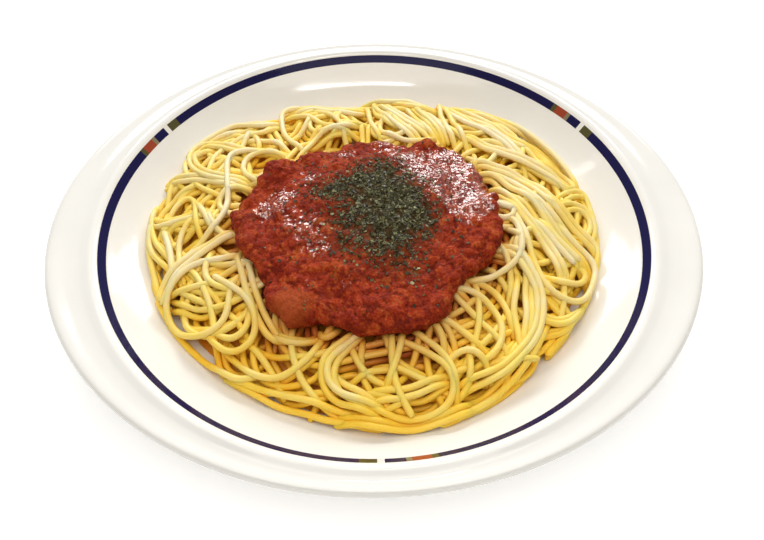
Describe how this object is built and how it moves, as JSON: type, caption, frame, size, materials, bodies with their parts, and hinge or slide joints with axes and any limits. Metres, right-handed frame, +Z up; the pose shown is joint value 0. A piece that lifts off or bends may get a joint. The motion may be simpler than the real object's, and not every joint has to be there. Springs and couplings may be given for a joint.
{
  "type": "plate of spaghetti bolognese",
  "caption": "Wide-rimmed round plate holding a heap of spaghetti topped with a mound of meat sauce and dried parsley.",
  "frame": {"origin": "middle of the foot ring's underside, on the surface the plate stands on", "axes": "+Z up, +X along the longer way of the slightly oval rim, -Y towards the viewer of the picture"},
  "size_m": [0.24, 0.2216, 0.0394],
  "materials": {
    "plate": "gloss white glaze",
    "spaghetti": "moist cooked pasta",
    "meat_sauce": "oily minced meat in tomato"
  },
  "bodies": {
    "root": {"plate": "plate", "spaghetti": "spaghetti", "meat_sauce": "meat_sauce"}
  },
  "joints": []
}
